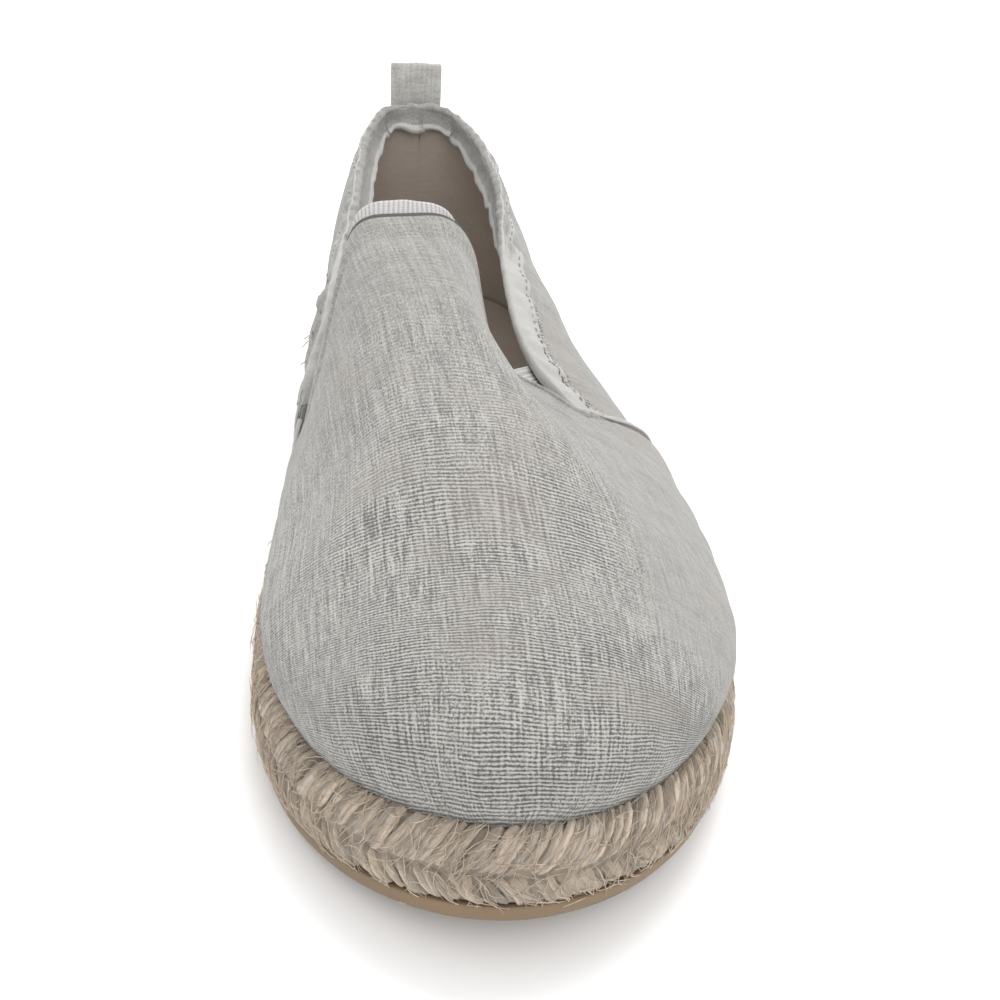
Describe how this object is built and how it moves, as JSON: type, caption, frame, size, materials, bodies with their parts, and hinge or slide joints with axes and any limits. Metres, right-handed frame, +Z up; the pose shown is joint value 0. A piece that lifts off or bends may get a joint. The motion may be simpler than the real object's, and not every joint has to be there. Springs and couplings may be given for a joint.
{
  "type": "espadrille",
  "caption": "Slip-on cloth espadrille with elastic side gussets, a ribbed throat band and a heel pull tab on a braided jute sole.",
  "frame": {"origin": "on the floor under the middle of the bounding box", "axes": "+Z up, the toe points towards -Y and the heel towards +Y, +X is the outer side of the foot"},
  "size_m": [0.1054, 0.2874, 0.0973],
  "materials": {
    "gum_rubber": "tan gum rubber, satin, slightly scuffed",
    "jute": "braided natural jute yarn, dull and hairy",
    "lining": "beige cotton lining and sock, matt",
    "chambray": "light grey slubby plain weave, matt",
    "elastic": "white ribbed elastic and twill tape, matt"
  },
  "bodies": {
    "root": {"outsole": "gum_rubber", "jute_sole": "jute", "insole": "lining", "upper": "chambray", "gore_lateral": "elastic", "gore_medial": "elastic", "throat_band": "elastic", "pull_tab": "chambray"}
  },
  "joints": []
}
